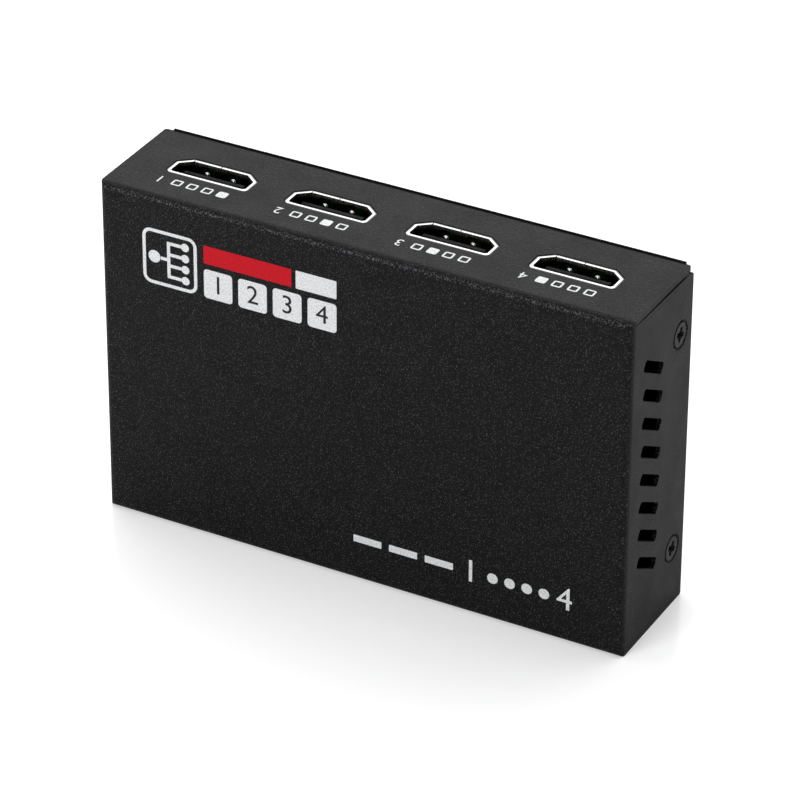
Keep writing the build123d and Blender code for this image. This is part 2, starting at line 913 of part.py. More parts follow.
control_rows = [
    lead_row(
        control_x, control_z, outward, control_width / 2,
        control_lead_count, control_lead_spacing, control_lead_width,
    )
    for outward in (right, left)
]
with BuildPart() as control_chip_leads:
    add(control_rows)
control_chip_leads.part.label = "control_chip_leads"
export_step(control_chip_leads.part, "parts/control_chip_leads.step")

# Memory chip, leads on two sides
memory_z = middle_z + memory_rise
memory_chip = chip_body(memory_x, memory_z, memory_width, memory_length, memory_height)
memory_chip.part.label = "memory_chip"
export_step(memory_chip.part, "parts/memory_chip.step")

memory_rows = [
    lead_row(
        memory_x, memory_z, outward, memory_width / 2,
        memory_lead_count, memory_lead_spacing, memory_lead_width,
    )
    for outward in (right, left)
]
with BuildPart() as memory_chip_leads:
    add(memory_rows)
memory_chip_leads.part.label = "memory_chip_leads"
export_step(memory_chip_leads.part, "parts/memory_chip_leads.step")

# Voltage regulator: three leads on one side and a broad cooling tab on the other
regulator_z = middle_z + regulator_rise
voltage_regulator = chip_body(
    regulator_x, regulator_z, regulator_length, regulator_width, regulator_height
)
voltage_regulator.part.label = "voltage_regulator"
export_step(voltage_regulator.part, "parts/voltage_regulator.step")

regulator_rows = [
    lead_row(
        regulator_x, regulator_z, downward, regulator_width / 2,
        regulator_lead_count, regulator_lead_spacing, regulator_lead_width,
    ),
    lead_row(
        regulator_x, regulator_z, upward, regulator_width / 2,
        1, regulator_lead_spacing, regulator_tab_width,
    ),
]
with BuildPart() as regulator_leads:
    add(regulator_rows)
regulator_leads.part.label = "regulator_leads"
export_step(regulator_leads.part, "parts/regulator_leads.step")

# Power coil: a square moulded block with cut corners
with BuildPart() as power_coil:
    with BuildSketch(board_plane()) as coil_outline:
        with Locations((coil_x, middle_z + coil_rise)):
            Rectangle(coil_size, coil_size)
        chamfer(coil_outline.vertices(), length=coil_chamfer)
    extrude(amount=coil_height)
power_coil.part.label = "power_coil"
export_step(power_coil.part, "parts/power_coil.step")

# Crystal: a ceramic base with a welded lid
with BuildPart() as crystal:
    with BuildSketch(board_plane()):
        with Locations((crystal_x, middle_z + crystal_rise)):
            Rectangle(crystal_width, crystal_length)
    extrude(amount=crystal_base)
    with BuildSketch(board_plane(crystal_base)):
        with Locations((crystal_x, middle_z + crystal_rise)):
            Rectangle(crystal_width - 2 * crystal_rim, crystal_length - 2 * crystal_rim)
    extrude(amount=crystal_lid)
crystal.part.label = "crystal"
export_step(crystal.part, "parts/crystal.step")

# Supply capacitors: two cans, each on a square base
can_places = [
    (can_x - can_spacing / 2, middle_z + can_rise),
    (can_x + can_spacing / 2, middle_z + can_rise),
]
with BuildPart() as capacitor_bases:
    for x, z in can_places:
        with BuildSketch(board_plane()) as base_outline:
            with Locations((x, z)):
                Rectangle(can_base_size, can_base_size)
            chamfer(base_outline.vertices().group_by(Axis.Y)[-1], length=can_base_chamfer)
        extrude(amount=can_base_height)
capacitor_bases.part.label = "capacitor_bases"
export_step(capacitor_bases.part, "parts/capacitor_bases.step")

with BuildPart() as capacitor_cans:
    with BuildSketch(board_plane(can_base_height)):
        with Locations(can_places):
            Circle(can_radius)
    extrude(amount=can_height)
capacitor_cans.part.label = "capacitor_cans"
export_step(capacitor_cans.part, "parts/capacitor_cans.step")

# Surge arrays: two small chips behind each video socket
surge_places = [(x, case_width - surge_setback) for x in output_places]
surge_places.append((input_socket_x, surge_setback))
with BuildPart() as surge_arrays:
    with BuildSketch(board_plane()):
        with Locations(surge_places):
            with GridLocations(surge_spacing, 0, 2, 1):
                Rectangle(surge_length, surge_width)
    extrude(amount=surge_height)
surge_arrays.part.label = "surge_arrays"
export_step(surge_arrays.part, "parts/surge_arrays.step")

# Line resistors: a row behind each output socket
resistor_places = [(x, case_width - resistor_setback) for x in output_places]
with BuildPart() as line_resistors:
    with BuildSketch(board_plane()):
        with Locations(resistor_places):
            with GridLocations(resistor_spacing, 0, resistor_count, 1):
                Rectangle(resistor_width, resistor_length)
    extrude(amount=resistor_height)
line_resistors.part.label = "line_resistors"
export_step(line_resistors.part, "parts/line_resistors.step")

# Bypass capacitors: a column on each side of the splitter chip
bypass_span = chip_size + 2 * (lead_reach + bypass_gap)
with BuildPart() as bypass_capacitors:
    with BuildSketch(board_plane()):
        with Locations((0, middle_z)):
            with GridLocations(bypass_span, bypass_spacing, 2, bypass_count):
                Rectangle(bypass_width, bypass_length)
    extrude(amount=bypass_height)
bypass_capacitors.part.label = "bypass_capacitors"
export_step(bypass_capacitors.part, "parts/bypass_capacitors.step")

# Fuse and protection diode beside the power socket
with BuildPart() as supply_fuse:
    with BuildSketch(board_plane()):
        with Locations((fuse_x, middle_z + fuse_rise)):
            Rectangle(fuse_length, fuse_width)
    extrude(amount=fuse_height)
supply_fuse.part.label = "supply_fuse"
export_step(supply_fuse.part, "parts/supply_fuse.step")

with BuildPart() as supply_diode:
    with BuildSketch(board_plane()):
        with Locations((diode_x, middle_z + diode_rise)):
            Rectangle(diode_length, diode_width)
    extrude(amount=diode_height)
supply_diode.part.label = "supply_diode"
export_step(supply_diode.part, "parts/supply_diode.step")
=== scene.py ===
# %% [markdown]
# A small video splitter in a folded steel case, dressed for a studio picture. The measured
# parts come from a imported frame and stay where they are. This lesson gives them their
# finishes, carves the screw heads, lays on the print, and lights them.

# %% Load the frame
import json
import math

import bmesh
import bpy
from mathutils import Matrix, Vector


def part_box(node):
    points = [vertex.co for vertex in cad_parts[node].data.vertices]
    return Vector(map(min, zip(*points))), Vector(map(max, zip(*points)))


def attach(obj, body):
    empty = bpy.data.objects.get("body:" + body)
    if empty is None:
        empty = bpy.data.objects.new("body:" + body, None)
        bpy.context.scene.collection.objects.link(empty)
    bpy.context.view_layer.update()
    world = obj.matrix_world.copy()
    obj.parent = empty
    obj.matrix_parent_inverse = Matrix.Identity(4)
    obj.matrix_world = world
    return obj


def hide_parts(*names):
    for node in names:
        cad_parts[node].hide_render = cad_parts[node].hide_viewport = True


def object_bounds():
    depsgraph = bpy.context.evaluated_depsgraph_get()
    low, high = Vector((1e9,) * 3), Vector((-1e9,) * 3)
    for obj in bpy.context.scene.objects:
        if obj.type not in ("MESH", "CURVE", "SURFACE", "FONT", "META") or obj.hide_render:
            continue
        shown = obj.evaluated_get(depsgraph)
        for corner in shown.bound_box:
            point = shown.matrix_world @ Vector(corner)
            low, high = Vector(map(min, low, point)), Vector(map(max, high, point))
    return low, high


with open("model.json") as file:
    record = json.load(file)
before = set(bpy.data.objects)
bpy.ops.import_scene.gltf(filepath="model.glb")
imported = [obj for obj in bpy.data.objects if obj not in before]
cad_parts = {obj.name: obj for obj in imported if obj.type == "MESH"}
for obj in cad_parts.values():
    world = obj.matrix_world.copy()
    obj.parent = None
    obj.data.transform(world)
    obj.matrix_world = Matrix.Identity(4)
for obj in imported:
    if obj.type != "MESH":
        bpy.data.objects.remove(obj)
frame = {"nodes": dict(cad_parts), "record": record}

cad_low, cad_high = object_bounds()
nodes = frame["nodes"]
MM = 0.001


def in_mm(lengths):
    """Lengths in metres as millimetres, rounded for print."""
    return [round(length / MM, 2) for length in lengths]


print("nodes", len(nodes), "box in mm", in_mm(cad_high - cad_low))

# %% [markdown]
# A product picture is often taken with a long lens from far away, so that parallel edges
# stay nearly parallel. The camera could be placed by eye, but here its angles were solved
# from the corners of the case, which is why they are not round numbers. Blender takes the
# sensor and the lens in millimetres, and all other lengths in metres.

# %% Camera
SENSOR = 36.0
LENS = 207.9
AZIMUTH = math.radians(28.196)
ELEVATION = math.radians(31.015)
ROLL = math.radians(0.299)
DISTANCE = 752.21 * MM
AIM_RIGHT = 1.411 * MM
AIM_UP = -1.850 * MM
CLIP_RANGE = 100

case_middle_z = (cad_low.z + cad_high.z) / 2
back = Vector((
    math.sin(AZIMUTH) * math.cos(ELEVATION),
    -math.cos(AZIMUTH) * math.cos(ELEVATION),
    math.sin(ELEVATION),
))
level_right = (-back).cross(Vector((0, 0, 1))).normalized()
level_up = level_right.cross(-back)
right = math.cos(ROLL) * level_right + math.sin(ROLL) * level_up
up = math.cos(ROLL) * level_up - math.sin(ROLL) * level_right
aim = Vector((0, 0, case_middle_z)) + level_right * AIM_RIGHT + level_up * AIM_UP
place = aim + back * DISTANCE

camera_data = bpy.data.cameras.new("camera")
camera_data.sensor_width = SENSOR
camera_data.lens = LENS
camera_data.clip_start = DISTANCE / CLIP_RANGE
camera_data.clip_end = DISTANCE * CLIP_RANGE
camera = bpy.data.objects.new("camera", camera_data)
camera.matrix_world = Matrix.Translation(place) @ Matrix((right, up, back)).transposed().to_4x4()
bpy.context.scene.collection.objects.link(camera)
bpy.context.scene.camera = camera
print("camera at", in_mm(place), "mm")

# %% [markdown]
# Every finish below is made of shader nodes. Writing each node by hand takes many lines, so
# a small helper adds a node, sets its fields and inputs, and returns it. An input is given
# by its name, or by the letter i and its number where several inputs share a name.
# Textures are read in object coordinates. Every measured part has its origin at the world's
# origin, so a texture scale in metres has the same real size on all of them.

# %% Node helpers
def new_material(name):
    """An empty material, its node tree and its Principled shader."""
    material = bpy.data.materials.new(name)
    material.use_nodes = True
    tree = material.node_tree
    shader = tree.nodes["Principled BSDF"]
    return material, tree, shader


def node(tree, kind, fields=None, **inputs):
    """Adds one node, sets its fields and inputs, and links the inputs that are sockets."""
    made = tree.nodes.new(kind)
    for field, value in (fields or {}).items():
        setattr(made, field, value)
    for key, value in inputs.items():
        numbered = key[0] == "i" and key[1:].isdigit()
        socket = made.inputs[int(key[1:])] if numbered else made.inputs[key]
        if isinstance(value, bpy.types.NodeSocket):
            tree.links.new(value, socket)
        else:
            socket.default_value = value
    return made


def place_of(tree):
    """Object coordinates, in metres of the shared frame."""
    return node(tree, "ShaderNodeTexCoord").outputs["Object"]


def drawn_out(tree, where, share):
    """Coordinates that draw a texture out into lines along Z."""
    mapped = node(tree, "ShaderNodeMapping", Vector=where, Scale=(1.0, 1.0, share))
    return mapped.outputs["Vector"]


print("node helpers ready")

# %% [markdown]
# Most finishes start from a noise texture that drives a colour or a roughness. The noise
# could be used as it is, but nearly all of its values lie close to one half. A ramp between
# two limits near the middle turns that small difference into the contrast of a real
# surface.

# %% Noise, ramps and sums
NOISE_LIMITS = (0.3, 0.7)
WHOLE = (0.0, 1.0)


def noise(tree, size, detail=2.0, where=None):
    """Noise whose blobs are about size metres wide."""
    made = node(
        tree, "ShaderNodeTexNoise",
        Vector=where or place_of(tree), Scale=1 / size, Detail=detail,
    )
    return made.outputs["Fac"]


def ramp(tree, factor, dark, light, limits=NOISE_LIMITS):
    """A colour that runs from dark to light while the factor runs between the limits."""
    made = node(tree, "ShaderNodeValToRGB", Fac=factor)
    for stop, position, colour in zip(made.color_ramp.elements, limits, (dark, light)):
        stop.position = position
        stop.color = (*colour, 1)
    return made.outputs["Color"]


def remap(tree, factor, results, limits=NOISE_LIMITS):
    """A number that runs between the results while the factor runs between the limits."""
    made = node(
        tree, "ShaderNodeMapRange", {"clamp": True},
        Value=factor, i1=limits[0], i2=limits[1], i3=results[0], i4=results[1],
    )
    return made.outputs["Result"]


def rise(tree, factor, limits):
    """Zero below the limits and one above them."""
    return remap(tree, factor, (0.0, 1.0), limits)


def fall(tree, factor, limits):
    """One below the limits and zero above them."""
    return remap(tree, factor, (1.0, 0.0), limits)


def maths(tree, operation, *numbers):
    """One arithmetic step on up to three numbers."""
    inputs = {f"i{position}": number for position, number in enumerate(numbers)}
    return node(tree, "ShaderNodeMath", {"operation": operation}, **inputs).outputs[0]


def blend(tree, share, first, second):
    """A colour that goes from the first to the second while the share goes from 0 to 1."""
    made = node(tree, "ShaderNodeMix", {"data_type": "RGBA"}, i0=share, i6=first, i7=second)
    return made.outputs[2]


def bump(tree, shader, height, depth):
    """Bump of a real depth in metres on a shader."""
    made = node(tree, "ShaderNodeBump", Height=height, Distance=depth)
    tree.links.new(made.outputs["Normal"], shader.inputs["Normal"])


print("noise is spread between", NOISE_LIMITS)

# %% [markdown]
# Most small parts have a plain finish: moulded plastic, tin, brass, gold. What makes them
# look real is a slight unevenness in colour and in gloss, at the scale of the real surface.
# One function makes all of these from a few facts about the finish: its darkest and palest
# colour, the range of its roughness, and the size and depth of its grain.

# %% Plain finish
FINE = 0.12 * MM
SMOOTH = 0.004 * MM
GRAINS_PER_CLOUD = 9
finishes = {}


def plain_finish(name, dark, light, gloss, metallic=0.0, grain=FINE, depth=SMOOTH, specular=0.5):
    """Colour and roughness that wander a little, with a fine bump of the same grain."""
    material, tree, shader = new_material(name)
    clouds = noise(tree, grain * GRAINS_PER_CLOUD)
    fine = noise(tree, grain, detail=3.0)
    mixed = maths(tree, "MULTIPLY", maths(tree, "ADD", clouds, fine), 0.5)
    tree.links.new(ramp(tree, mixed, dark, light), shader.inputs["Base Color"])
    tree.links.new(remap(tree, clouds, gloss), shader.inputs["Roughness"])
    shader.inputs["Metallic"].default_value = metallic
    shader.inputs["Specular IOR Level"].default_value = specular
    bump(tree, shader, fine, depth)
    finishes[name] = material


print("a plain finish has grain in mm of", in_mm([FINE]))

# %% [markdown]
# The metals inside the case are the brass pillars under the board, the plated board screws,
# the gold contacts, the pin of the power socket, tinned leads and the crystal's can. A
# metal shows only what it reflects, tinted by its colour. So each has its Metallic input at
# one, and its two colours are those of the tint.

# %% Brass, gold, tin and steel
METALS = {
    "brass_pillars": ((0.55, 0.38, 0.14), (0.66, 0.48, 0.2), (0.25, 0.4)),
    "plated_screws": ((0.5, 0.5, 0.5), (0.62, 0.62, 0.6), (0.25, 0.38)),
    "contact_gold": ((0.7, 0.47, 0.17), (0.82, 0.58, 0.25), (0.2, 0.32)),
    "plated_pin": ((0.62, 0.6, 0.56), (0.74, 0.72, 0.68), (0.18, 0.3)),
    "tinned_leads": ((0.5, 0.5, 0.5), (0.65, 0.65, 0.64), (0.3, 0.45)),
    "crystal_can": ((0.55, 0.55, 0.56), (0.66, 0.66, 0.66), (0.22, 0.34)),
}
for name, (dark, light, gloss) in METALS.items():
    plain_finish(name, dark, light, gloss, metallic=1.0)
print("metal finishes", len(METALS))

# %% [markdown]
# The other small parts are plastic, rubber and ceramic. Their colour comes from within, and
# only a weak reflection lies on top. How weak is set by the specular level: moulded plastic
# with a fine texture on it, like a socket's insulator, has hardly any.

# %% Plastic, rubber and ceramic
RUBBER_GRAIN = 0.25 * MM
RUBBER_DEPTH = 0.05 * MM
CHIP_GRAIN = 0.1 * MM
CHIP_DEPTH = 0.006 * MM
plain_finish(
    "foot_rubber", dark=(0.016, 0.016, 0.017), light=(0.04, 0.04, 0.042), gloss=(0.75, 0.9),
    grain=RUBBER_GRAIN, depth=RUBBER_DEPTH, specular=0.3)
plain_finish(
    "socket_black", dark=(0.002, 0.002, 0.002), light=(0.004, 0.004, 0.004), gloss=(0.55, 0.7),
    specular=0.12)
plain_finish(
    "black_moulding", dark=(0.01, 0.01, 0.01), light=(0.018, 0.018, 0.018), gloss=(0.4, 0.55),
    specular=0.4)
plain_finish(
    "chip_black", dark=(0.012, 0.012, 0.013), light=(0.022, 0.022, 0.023), gloss=(0.5, 0.65),
    grain=CHIP_GRAIN, depth=CHIP_DEPTH, specular=0.4)
plain_finish(
    "pad_grey", dark=(0.2, 0.24, 0.3), light=(0.27, 0.31, 0.37), gloss=(0.7, 0.85),
    specular=0.3)
plain_finish(
    "coil_ferrite", dark=(0.03, 0.03, 0.032), light=(0.05, 0.05, 0.052), gloss=(0.5, 0.7),
    metallic=0.2, specular=0.4)
plain_finish(
    "resistor_black", dark=(0.014, 0.014, 0.015), light=(0.026, 0.026, 0.027), gloss=(0.3, 0.45))
plain_finish(
    "ceramic_tan", dark=(0.36, 0.24, 0.13), light=(0.46, 0.32, 0.19), gloss=(0.35, 0.5))
plain_finish(
    "fuse_green", dark=(0.02, 0.12, 0.06), light=(0.04, 0.18, 0.09), gloss=(0.35, 0.5))
print("plain finishes", len(finishes))

# %% [markdown]
# The case has a matte black powder coat. The powder melts into a skin of tiny bumps, about
# a quarter of a millimetre wide, and a few of them catch the light as bright specks. Noise
# could make specks too, but a Voronoi texture gives single round ones: it splits space into
# cells with a random colour each. A cell is a speck when its colour is high, and only near
# its centre.

# %% Specks in the coat
SPECK_CELL = 0.36 * MM
SPECK_CHOICE = (0.72, 0.9)
SPECK_RADIUS = (0.15, 0.45)


def coat_specks(tree, where):
    """One at the centre of sparse round specks, else zero."""
    cells = node(
        tree, "ShaderNodeTexVoronoi", {"feature": "F1"}, Vector=where, Scale=1 / SPECK_CELL
    ).outputs
    chosen = rise(tree, cells["Color"], SPECK_CHOICE)
    centre = fall(tree, cells["Distance"], SPECK_RADIUS)
    return maths(tree, "MULTIPLY", chosen, centre)


print("speck cells in mm", in_mm([SPECK_CELL]))

# %% [markdown]
# The coat isn't the same all over the case, and some of it is painted light and shade. The
# large printed face has the boldest grain, with painted shade in its pits and brighter specks
# for the raking light across it. The fold above it is paler: a painted highlight on the
# rounded bend. Where a panel meets the base plate, the last millimetre of up-facing coat is
# painted nearly black: painted shade of the narrow gap between them. Each place could be
# painted by hand, but the way that a surface faces tells them apart as well, and it stays
# right when the case changes size.

# %% Places on the coat
FACE_TURN = (-0.95, -0.3)
FOLD_START = (0.08, 0.3)
FOLD_END = (0.5, 0.75)
PANEL_TURN = (0.6, 0.8)
EDGE_FROM_BACK = (1.3 * MM, 1.1 * MM)

cover_low, cover_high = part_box("top_cover")


def coat_places(tree, where):
    """Three masks: printed face, fold with painted highlight, strip with painted gap shade."""
    facing = node(tree, "ShaderNodeTexCoord").outputs["Normal"]
    side = node(tree, "ShaderNodeSeparateXYZ", Vector=facing).outputs
    face = fall(tree, side["Y"], FACE_TURN)
    tilted = maths(
        tree, "MULTIPLY", rise(tree, side["Z"], FOLD_START), fall(tree, side["Z"], FOLD_END))
    fold = maths(tree, "MULTIPLY", tilted, face)
    panel = rise(tree, maths(tree, "ABSOLUTE", side["Z"]), PANEL_TURN)
    depth = node(tree, "ShaderNodeSeparateXYZ", Vector=where).outputs["Y"]
    edge_limits = [cover_high.y - distance for distance in EDGE_FROM_BACK]
    edge = maths(tree, "MULTIPLY", panel, rise(tree, depth, edge_limits))
    return face, fold, edge


print("cover in mm", in_mm(cover_high - cover_low))

# %% [markdown]
# The coat itself puts these together: pits that are nearly black, bumps that are dark grey,
# and pale specks. A plain dark grey with a bump would be quicker, but a real coat shows its
# grain in its colour too. The base plate is duller than the cover, so the shine is given
# for each of them. A pair of levels holds that of the panels and that of the printed face.

# %% Powder coat
COAT_GRAIN = 0.24 * MM
COAT_DEPTH = 0.3 * MM
COAT_CLOUD = 6 * MM
COAT_GLOSS = (0.55, 0.62)
PANEL_SKIN = ((0.003, 0.0031, 0.0034), (0.018, 0.0188, 0.021), (0.5, 0.68))
# The printed face's skin: real grain, with deeper pits and paler bumps as painted shade and glints
# of raking light.
FACE_SKIN_AND_SHADE = ((0.0005, 0.0005, 0.0007), (0.075, 0.077, 0.083), (0.57, 0.68))
PALE = (0.115, 0.118, 0.125, 1)
# Nearly black: painted shade of the gap where a panel meets the base plate.
EDGE_GAP_SHADE = (0.0005, 0.0005, 0.0006, 1)
SPECK_LEVELS = (0.4, 1.0)
BUMP_LEVELS = (0.5, 1.3)
SPECK_HEIGHT = 0.4
# How strong, and where in the grain, the painted highlight on the fold lies.
FOLD_HIGHLIGHT_RANGE = (0.0, 0.75)
FOLD_HIGHLIGHT_LIMITS = (0.47, 0.6)


def powder_coat(name, shine):
    """Matte black coat: fine bumps, darker pits and sparse bright specks."""
    material, tree, shader = new_material(name)
    where = place_of(tree)
    grain = noise(tree, COAT_GRAIN, detail=2.5, where=where)
    clouds = noise(tree, COAT_CLOUD, where=where)
    speck = coat_specks(tree, where)
    face, fold, edge = coat_places(tree, where)

    # On the printed face the grain gets painted shade in its pits, and its specks are painted
    # brighter, for the raking light.
    skin = blend(tree, face, ramp(tree, grain, *PANEL_SKIN), ramp(tree, grain, *FACE_SKIN_AND_SHADE))
    bold = maths(tree, "MULTIPLY", speck, remap(tree, face, SPECK_LEVELS, WHOLE))
    # The fold gets a painted highlight, speckled by the grain.
    fold_highlight = maths(tree, "MULTIPLY", remap(tree, grain, FOLD_HIGHLIGHT_RANGE, FOLD_HIGHLIGHT_LIMITS), fold)
    coated = blend(tree, maths(tree, "ADD", bold, fold_highlight), skin, PALE)
    # The up-facing strip along the back is painted nearly black, as painted shade of the gap
    # against the base plate.
    tree.links.new(blend(tree, edge, coated, EDGE_GAP_SHADE), shader.inputs["Base Color"])

    rough = maths(tree, "MAXIMUM", remap(tree, clouds, COAT_GLOSS), edge)
    tree.links.new(rough, shader.inputs["Roughness"])
    shader.inputs["Specular IOR Level"].default_value = shine
    height = maths(tree, "ADD", grain, maths(tree, "MULTIPLY", speck, SPECK_HEIGHT))
    level = remap(tree, face, BUMP_LEVELS, WHOLE)
    bump(tree, shader, maths(tree, "MULTIPLY", height, level), COAT_DEPTH)
    finishes[name] = material


powder_coat("cover_coat", shine=0.15)
powder_coat("plate_coat", shine=0.04)
print("coats", [name for name in finishes if name.endswith("coat")])

# %% [markdown]
# The cover screws are steel with a black chemical finish: a thin, dull skin of dark oxide,
# rubbed a little paler in patches. It could be made as a metal with a dark tint, but that
# mirrors the bright studio. The oxide has only a weak gloss, so its Metallic input stays at
# zero.

# %% Blackened steel
OXIDE_PATCH = 0.7 * MM


def blackened_steel(name):
    """Dull dark oxide with paler, duller patches."""
    material, tree, shader = new_material(name)
    wear = noise(tree, OXIDE_PATCH, detail=4.0)
    colour = ramp(tree, wear, (0.003, 0.003, 0.0032), (0.02, 0.0205, 0.0215), (0.4, 0.75))
    tree.links.new(colour, shader.inputs["Base Color"])
    tree.links.new(remap(tree, wear, (0.45, 0.6)), shader.inputs["Roughness"])
    shader.inputs["Specular IOR Level"].default_value = 0.17
    bump(tree, shader, noise(tree, FINE, detail=3.0), SMOOTH)
    finishes[name] = material


blackened_steel("black_screws")
print("oxide patches in mm", in_mm([OXIDE_PATCH]))

# %% [markdown]
# All five video sockets are the same part and share one material. It has to know where a
# point lies in its own socket. Each socket could have texture coordinates of its own, but
# the outputs stand in an even row, so their places can be worked out from the measured
# shells: folding the row onto itself gives the distance from the nearest socket's middle.
# The input socket is alone on the opposite panel and is measured by itself.

# %% Find the sockets
OUTPUTS = (1, 2, 3, 4)

shell_boxes = [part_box(f"output_socket_{number}_shell") for number in OUTPUTS]
shell_middles = [(low.x + high.x) / 2 for low, high in shell_boxes]
socket_spacing = (shell_middles[-1] - shell_middles[0]) / (len(OUTPUTS) - 1)
mouth_from_middle = shell_boxes[0][1].z - case_middle_z
insulator_low, insulator_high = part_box("output_socket_1_insulator")
socket_y = (insulator_low.y + insulator_high.y) / 2
input_low, input_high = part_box("input_socket_shell")
input_x = (input_low.x + input_high.x) / 2


def socket_place(tree, where):
    """Sideways distance from a socket's middle, height in the case's depth, and depth."""
    along = node(tree, "ShaderNodeSeparateXYZ", Vector=where).outputs
    from_middle = maths(tree, "SUBTRACT", along["Z"], case_middle_z)
    output_side = maths(tree, "GREATER_THAN", from_middle, 0.0)
    folded = maths(tree, "WRAP", along["X"], socket_spacing, 0.0)
    output_x = maths(tree, "SUBTRACT", folded, socket_spacing / 2)
    sideways = node(
        tree, "ShaderNodeMix", {"data_type": "FLOAT"},
        i0=output_side, i2=maths(tree, "SUBTRACT", along["X"], input_x), i3=output_x,
    ).outputs[0]
    depth = maths(tree, "SUBTRACT", mouth_from_middle, maths(tree, "ABSOLUTE", from_middle))
    return sideways, maths(tree, "SUBTRACT", along["Y"], socket_y), depth


print("output sockets in mm", in_mm(shell_middles), "input socket", in_mm([input_x]))

# %% [markdown]
# The opening has six sides: a wide one, two upright ones, and two slanted ones that lead to
# a narrower one. An image could mark its outline, but the distance outside it is simply the
# largest of the distances past its sides. It finds the outer edge of the rolled lip, where
# the metal curves away and looks dark.

# %% Distance from a socket's opening
OPENING_HALF = Vector((7.0, 2.275)) * MM
NARROW_CORNER = Vector((5.05, 2.275)) * MM
SHOULDER = Vector((7.0, 0.675)) * MM


def from_opening(tree, sideways, across):
    """Distance outside the socket's opening: zero on its outline, negative within."""
    slant = (SHOULDER - NARROW_CORNER).normalized()
    outward = Vector((-slant.y, slant.x))
    half_width = maths(tree, "ABSOLUTE", sideways)
    past_side = maths(tree, "SUBTRACT", half_width, OPENING_HALF.x)
    past_long = maths(tree, "SUBTRACT", maths(tree, "ABSOLUTE", across), OPENING_HALF.y)
    along = maths(
        tree, "ADD", maths(tree, "MULTIPLY", half_width, outward.x),
        maths(tree, "MULTIPLY", across, outward.y))
    past_slant = maths(tree, "SUBTRACT", along, outward.dot(NARROW_CORNER))
    return maths(tree, "MAXIMUM", past_slant, maths(tree, "MAXIMUM", past_side, past_long))


print("socket opening in mm", in_mm(OPENING_HALF * 2))

# %% [markdown]
# The rounded crest of each spring finger carries a painted highlight, where its curve would
# catch the light from above. The folded strip's ends meet in fine joints at the narrow side.
# Both could be pieces of their own, but they lie in the metal and not on it, so they are marks
# in the material.

# %% Marks on a socket's shell
FINGER_X = 2.45 * MM
CREST_DEPTH = 1.75 * MM
CREST_RADIUS = 0.5 * MM
JOINT_HALF = 0.09 * MM


def finger_crest(tree, sideways, depth):
    """One at a spring finger's crest, falling to zero round it."""
    off_finger = maths(tree, "SUBTRACT", maths(tree, "ABSOLUTE", sideways), FINGER_X)
    off_crest = maths(tree, "SUBTRACT", depth, CREST_DEPTH)
    squares = [maths(tree, "MULTIPLY", off, off) for off in (off_finger, off_crest)]
    return fall(tree, maths(tree, "ADD", *squares), (0.0, CREST_RADIUS ** 2))


def strip_joint(tree, sideways, across):
    """One on the joints of the folded strip, else zero."""
    narrow_side = maths(tree, "GREATER_THAN", across, OPENING_HALF.y)
    joints = [
        maths(tree, "COMPARE", sideways, x, JOINT_HALF) for x in (0.0, -NARROW_CORNER.x)]
    return maths(tree, "MULTIPLY", narrow_side, maths(tree, "ADD", *joints))


print("polished crests in mm", in_mm([CREST_RADIUS * 2]))

# %% [markdown]
# A socket's shell is folded from thin steel and plated with bright nickel. The rolled lip
# shines, while the tube behind it mirrors little but black plastic and looks dark. A render
# could find that by itself from enough light bounces. Darker metal below the lip gives the
# same picture with few of them, and in a viewer that has none.

# %% Nickel plate
PLATING_LINE = 0.1 * MM
PLATING_STRETCH = 0.08
CREST_HEIGHT = 0.4 * MM
LINE_HEIGHT = 0.01
TUBE_SHADE = (0.2 * MM, 0.9 * MM)
LIP_EDGE = (0.32 * MM, 0.46 * MM)
LIP_SHADE = (0.0, 0.9)
SHADED_NICKEL = (0.03, 0.03, 0.03, 1)


def nickel_plate(name):
    """Bright lip, tube in painted shade, crests with a painted highlight, and fine joints."""
    material, tree, shader = new_material(name)
    where = place_of(tree)
    sideways, across, depth = socket_place(tree, where)
    lines = noise(
        tree, PLATING_LINE, detail=3.0, where=drawn_out(tree, where, PLATING_STRETCH))
    crest = finger_crest(tree, sideways, depth)
    joint = strip_joint(tree, sideways, across)
    edge = remap(tree, from_opening(tree, sideways, across), LIP_SHADE, LIP_EDGE)

    bright = ramp(tree, lines, (0.66, 0.655, 0.64), (0.76, 0.755, 0.74))
    # The crests are left out of the tube's painted shade: a painted highlight.
    highlit = maths(tree, "GREATER_THAN", crest, 0.0)
    shade = maths(tree, "SUBTRACT", rise(tree, depth, TUBE_SHADE), highlit)
    shade = maths(tree, "MAXIMUM", shade, maths(tree, "MAXIMUM", joint, edge))
    tree.links.new(blend(tree, shade, bright, SHADED_NICKEL), shader.inputs["Base Color"])
    tree.links.new(remap(tree, lines, (0.2, 0.34)), shader.inputs["Roughness"])
    shader.inputs["Metallic"].default_value = 1.0
    height = maths(tree, "ADD", maths(tree, "MULTIPLY", lines, LINE_HEIGHT), crest)
    bump(tree, shader, height, CREST_HEIGHT)
    finishes[name] = material


nickel_plate("socket_nickel")
print("lip edge in mm", in_mm(LIP_EDGE))

# %% [markdown]
# The heat sink is extruded aluminium with a clear anodised skin, and the capacitor cans are
# the same metal, drawn. Both are soft grey rather than mirror bright, with fine streaks
# along the way that they were drawn. Stretched noise gives such streaks at any length.

# %% Aluminium
STREAK = 0.15 * MM
STREAK_STRETCH = 0.05
STREAK_DARKNESS = 0.85
ROUGHNESS_SPAN = 0.15


